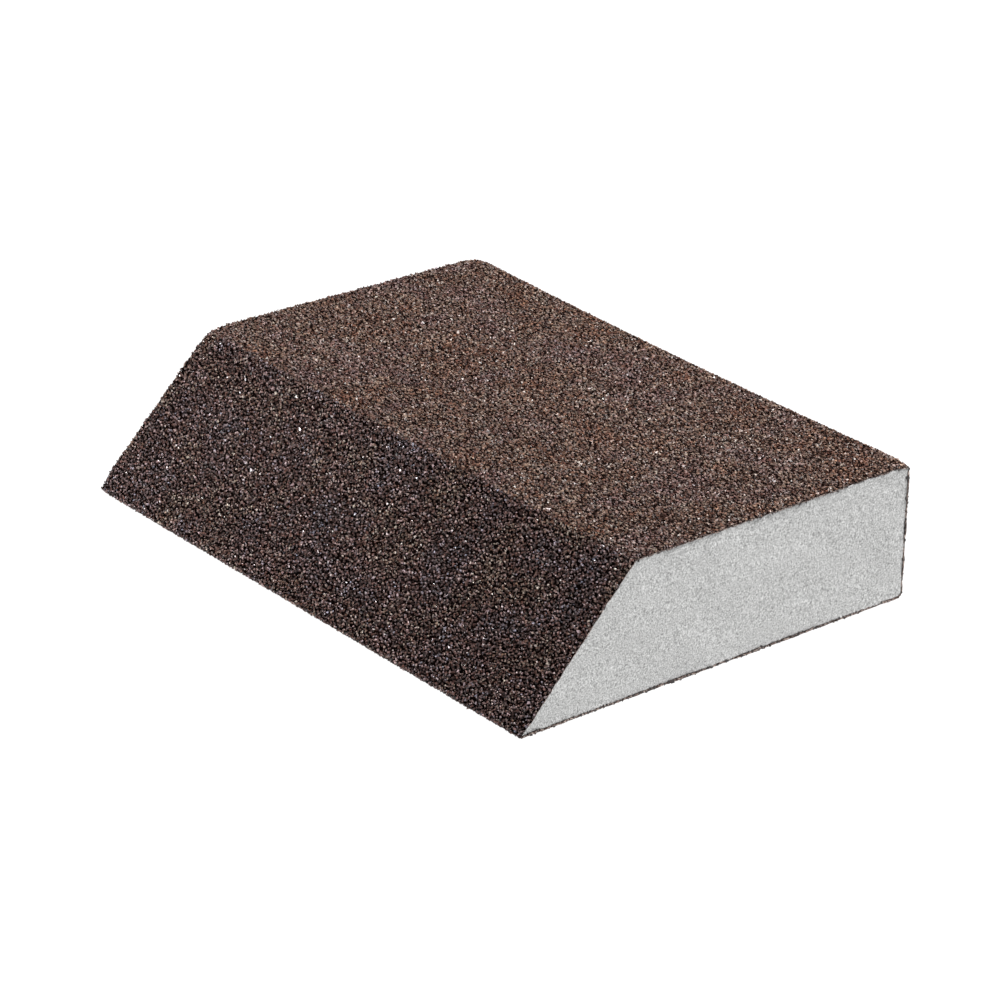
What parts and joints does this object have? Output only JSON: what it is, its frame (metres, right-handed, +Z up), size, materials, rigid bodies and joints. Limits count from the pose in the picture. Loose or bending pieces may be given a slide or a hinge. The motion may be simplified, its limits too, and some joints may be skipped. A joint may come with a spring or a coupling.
{
  "type": "angled sanding block",
  "caption": "Flexible foam sanding block with a bevelled side, coated with brown abrasive grit on its long faces and with bare foam ends.",
  "frame": {"origin": "middle of the bounding box in plan, at the level of the base face it rests on", "axes": "+X from the bevelled side to the square back, Y along the length between the two bare foam ends, +Z up from the base to the top"},
  "size_m": [0.0912, 0.125, 0.0264],
  "materials": {
    "foam": "matte",
    "binder": "satin",
    "grit": "matte"
  },
  "bodies": {
    "root": {"foam_core": "foam", "base_binder_film": "binder", "base_grit_layer": "grit", "back_binder_film": "binder", "back_grit_layer": "grit", "top_binder_film": "binder", "top_grit_layer": "grit", "bevel_binder_film": "binder", "bevel_grit_layer": "grit"}
  },
  "joints": []
}
